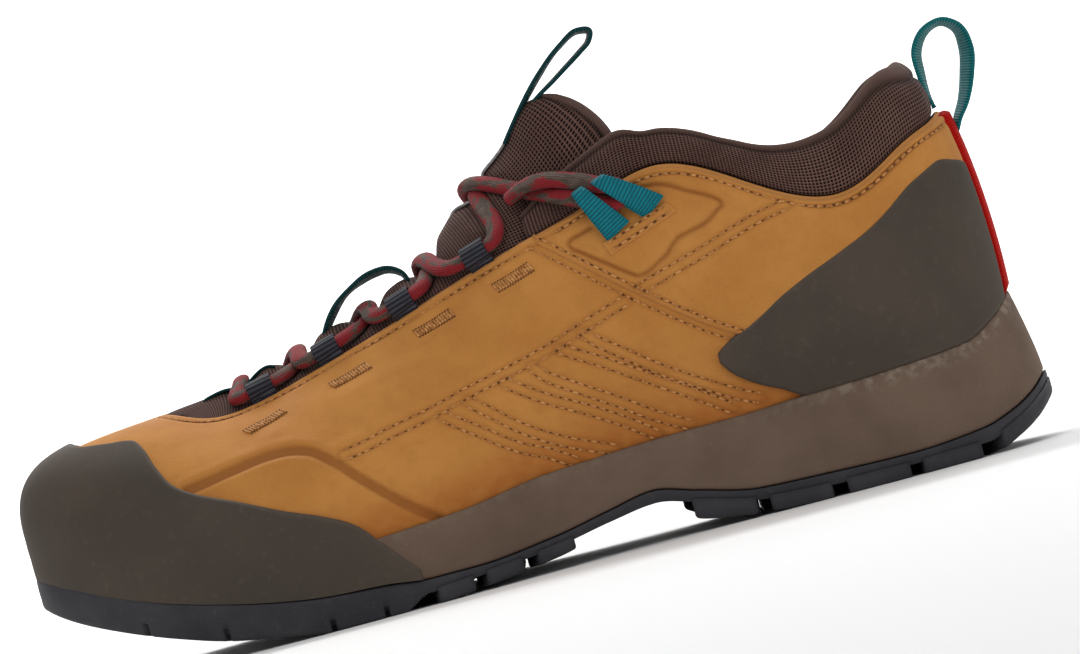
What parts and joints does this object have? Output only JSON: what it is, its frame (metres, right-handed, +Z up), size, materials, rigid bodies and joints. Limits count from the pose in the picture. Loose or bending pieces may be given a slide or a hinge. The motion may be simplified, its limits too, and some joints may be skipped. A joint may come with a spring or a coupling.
{
  "type": "approach shoe",
  "caption": "Low lace-up approach shoe in tan nubuck with rubber toe and heel rands, foam midsole, lugged outsole, mesh collar and webbing pull loops.",
  "frame": {"origin": "middle of the shoe's bounding box in plan, on the floor that it stands on", "axes": "+X from toe to heel along the sole, +Y to the wearer's right (outer side), +Z up"},
  "size_m": [0.3062, 0.1104, 0.15],
  "materials": {
    "nubuck": "matt brushed nubuck leather",
    "rand_rubber": "matt moulded rubber",
    "foam": "matt foam with a fine skin",
    "tread_rubber": "matt black rubber",
    "mesh": "padded spacer mesh",
    "footbed": "brushed fabric",
    "teal_webbing": "woven webbing",
    "dark_webbing": "ribbed woven webbing",
    "red_tape": "smooth tape",
    "lace": "braided round lace"
  },
  "bodies": {
    "root": {"outsole": "tread_rubber", "midsole": "foam", "insole": "footbed", "upper": "nubuck", "toe_rand": "rand_rubber", "heel_rand_inner": "rand_rubber", "heel_rand_outer": "rand_rubber", "quarter_inner": "nubuck", "quarter_outer": "nubuck", "heel_strip": "red_tape", "collar": "mesh", "tongue": "mesh", "heel_pull_loop": "teal_webbing", "tongue_pull_loop": "teal_webbing", "tongue_keeper": "teal_webbing", "lace": "lace", "lace_loop_inner_1": "dark_webbing", "lace_loop_inner_2": "dark_webbing", "lace_loop_inner_3": "dark_webbing", "lace_loop_inner_4": "dark_webbing", "top_loop_inner_1": "teal_webbing", "top_loop_inner_2": "teal_webbing", "lace_loop_outer_1": "dark_webbing", "lace_loop_outer_2": "dark_webbing", "lace_loop_outer_3": "dark_webbing", "lace_loop_outer_4": "dark_webbing", "top_loop_outer_1": "teal_webbing", "top_loop_outer_2": "teal_webbing"}
  },
  "joints": []
}
